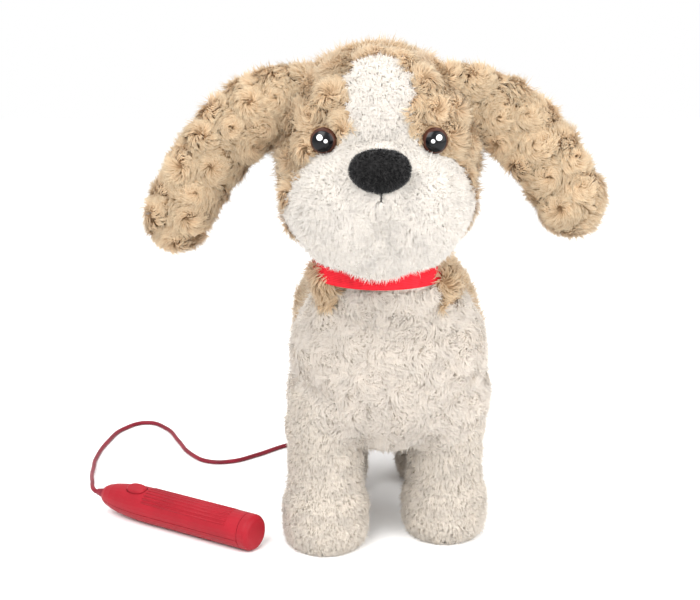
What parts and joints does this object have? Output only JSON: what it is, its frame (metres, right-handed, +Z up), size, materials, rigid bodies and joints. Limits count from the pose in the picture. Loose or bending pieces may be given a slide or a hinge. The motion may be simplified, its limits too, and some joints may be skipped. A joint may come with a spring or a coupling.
{
  "type": "interactive plush pet",
  "caption": "Walking plush puppy with floppy ears and a ribbon collar, geared legs linked side by side, and a wired push-button handset on a thin lead.",
  "frame": {"origin": "on the floor, under the middle of the puppy and its handset taken together, leaving out the free lead, its coil and its gland", "axes": "+Z up; the puppy faces -Y and its left side is at +X"},
  "size_m": [0.3176, 0.3015, 0.2973],
  "materials": {
    "plush_cream": "short cream plush with faint curls",
    "plush_white": "short white plush",
    "plush_tan": "tan rosette plush",
    "felt_black": "black velour",
    "ribbon_red": "bright red ribbon",
    "plastic_red": "satin red moulded plastic",
    "cord_red": "crimson flexible sheath",
    "eye_gloss": "glossy dark plastic",
    "shell_grey": "moulded grey plastic",
    "gear_white": "white acetal",
    "steel": "plain steel",
    "board_green": "green circuit board",
    "sole_rubber": "matt rubber",
    "cell_wrap": "dark plastic wrap"
  },
  "bodies": {
    "chassis": {"torso_plush": "plush_cream", "torso_shell_left": "shell_grey", "torso_shell_right": "shell_grey", "shell_screw_1": "steel", "shell_screw_2": "steel", "shell_screw_3": "steel", "gearbox_plate": "shell_grey", "drive_motor": "steel", "hip_axle_front": "steel", "hip_axle_rear": "steel", "speaker": "cell_wrap", "circuit_board": "board_green", "neck_post": "shell_grey", "head_plush": "plush_tan", "muzzle_plush": "plush_white", "nose": "felt_black", "eye_left": "eye_gloss", "eye_right": "eye_gloss", "collar": "ribbon_red", "tail_bracket": "shell_grey", "tail_pin": "steel", "cord_gland": "cord_red", "lead_cord_near": "cord_red", "lead_coil": "cord_red", "lead_cord_far": "cord_red", "handset_strain_relief": "cord_red", "handset_shell_top": "plastic_red", "handset_shell_bottom": "plastic_red", "switch_board": "board_green", "battery_rear": "cell_wrap", "battery_front": "cell_wrap"},
    "leg_rear_left": {"leg_core_rear_left": "shell_grey", "leg_plush_rear_left": "plush_white", "foot_pad_rear_left": "sole_rubber"},
    "leg_front_left": {"leg_core_front_left": "shell_grey", "leg_plush_front_left": "plush_white", "foot_pad_front_left": "sole_rubber"},
    "leg_rear_right": {"leg_core_rear_right": "shell_grey", "leg_plush_rear_right": "plush_white", "foot_pad_rear_right": "sole_rubber"},
    "leg_front_right": {"leg_core_front_right": "shell_grey", "leg_plush_front_right": "plush_white", "foot_pad_front_right": "sole_rubber"},
    "link_left": {"link_rod_left": "gear_white"},
    "link_right": {"link_rod_right": "gear_white"},
    "crank": {"crank_shaft": "steel", "crank_disc_left": "gear_white", "crank_disc_right": "gear_white", "output_gear": "gear_white"},
    "second_gear": {"reduction_gear_second": "gear_white"},
    "first_gear": {"reduction_gear_first": "gear_white"},
    "motor_gear": {"motor_pinion": "steel"},
    "tail": {"tail_core": "shell_grey", "tail_plush": "plush_tan"},
    "ear_left_flap": {"ear_left": "plush_tan"},
    "ear_right_flap": {"ear_right": "plush_tan"},
    "button": {"handset_button": "plastic_red"},
    "end_cap": {"handset_end_cap": "plastic_red", "battery_spring": "steel"}
  },
  "joints": [
    {"name": "stride", "type": "hinge", "parent": "chassis", "child": "leg_rear_left", "pos_m": [0.0575, 0.0566, 0.10052], "axis": [1, 0, 0], "range_deg": [-18, 6]},
    {"name": "stride_front_left", "type": "hinge", "parent": "chassis", "child": "leg_front_left", "pos_m": [0.0575, -0.0374, 0.10052], "axis": [1, 0, 0], "range_deg": [-18.2, 6.2]},
    {"name": "stride_rear_right", "type": "hinge", "parent": "chassis", "child": "leg_rear_right", "pos_m": [-0.0015, 0.0566, 0.10052], "axis": [1, 0, 0], "range_deg": [-6.2, 18.2]},
    {"name": "stride_front_right", "type": "hinge", "parent": "chassis", "child": "leg_front_right", "pos_m": [-0.0015, -0.0374, 0.10052], "axis": [1, 0, 0], "range_deg": [-6.2, 18.2]},
    {"name": "link_pivot_left", "type": "hinge", "parent": "leg_rear_left", "child": "link_left", "pos_m": [0.0615, 0.05556, 0.11046], "axis": [1, 0, 0], "range_deg": [-6.2, 18.2]},
    {"name": "link_pivot_right", "type": "hinge", "parent": "leg_rear_right", "child": "link_right", "pos_m": [-0.0055, 0.05765, 0.11046], "axis": [1, 0, 0], "range_deg": [-18.2, 6.2]},
    {"name": "crank_turn", "type": "hinge", "parent": "chassis", "child": "crank", "pos_m": [0.028, 0.0566, 0.12252], "axis": [1, 0, 0], "continuous": true},
    {"name": "second_gear_turn", "type": "hinge", "parent": "chassis", "child": "second_gear", "pos_m": [0.038, 0.04427, 0.11217], "axis": [1, 0, 0], "continuous": true},
    {"name": "first_gear_turn", "type": "hinge", "parent": "chassis", "child": "first_gear", "pos_m": [0.038, 0.02914, 0.10666], "axis": [1, 0, 0], "continuous": true},
    {"name": "motor_turn", "type": "hinge", "parent": "chassis", "child": "motor_gear", "pos_m": [0.043, 0.01352, 0.11056], "axis": [1, 0, 0], "continuous": true},
    {"name": "tail_wag", "type": "hinge", "parent": "chassis", "child": "tail", "pos_m": [0.028, 0.0856, 0.113], "axis": [0, 0, 1], "range_deg": [-25, 25], "stiffness_Nm_per_rad": 0.02},
    {"name": "ear_left_lift", "type": "hinge", "parent": "chassis", "child": "ear_left_flap", "pos_m": [0.0805, -0.0654, 0.265], "axis": [0, -1, 0], "range_deg": [-4, 25], "stiffness_Nm_per_rad": 0.15},
    {"name": "ear_right_lift", "type": "hinge", "parent": "chassis", "child": "ear_right_flap", "pos_m": [-0.0245, -0.0654, 0.265], "axis": [0, 1, 0], "range_deg": [-4, 25], "stiffness_Nm_per_rad": 0.15},
    {"name": "button_press", "type": "slide", "parent": "chassis", "child": "button", "axis": [0.1406, 0.2173, -0.9659], "range_m": [0, 0.0012], "stiffness_N_per_m": 300},
    {"name": "end_cap_off", "type": "slide", "parent": "chassis", "child": "end_cap", "axis": [0.8396, -0.5432, 0], "range_m": [0, 0.012]}
  ],
  "couplings": [
    {"joint": "stride_front_left", "follows": "stride", "ratio": 1},
    {"joint": "stride_rear_right", "follows": "stride", "ratio": -1},
    {"joint": "stride_front_right", "follows": "stride", "ratio": -1},
    {"joint": "link_pivot_left", "follows": "stride", "ratio": -1},
    {"joint": "link_pivot_right", "follows": "stride", "ratio": 1},
    {"joint": "second_gear_turn", "follows": "crank_turn", "ratio": -3},
    {"joint": "first_gear_turn", "follows": "crank_turn", "ratio": 9},
    {"joint": "motor_turn", "follows": "crank_turn", "ratio": -27}
  ]
}
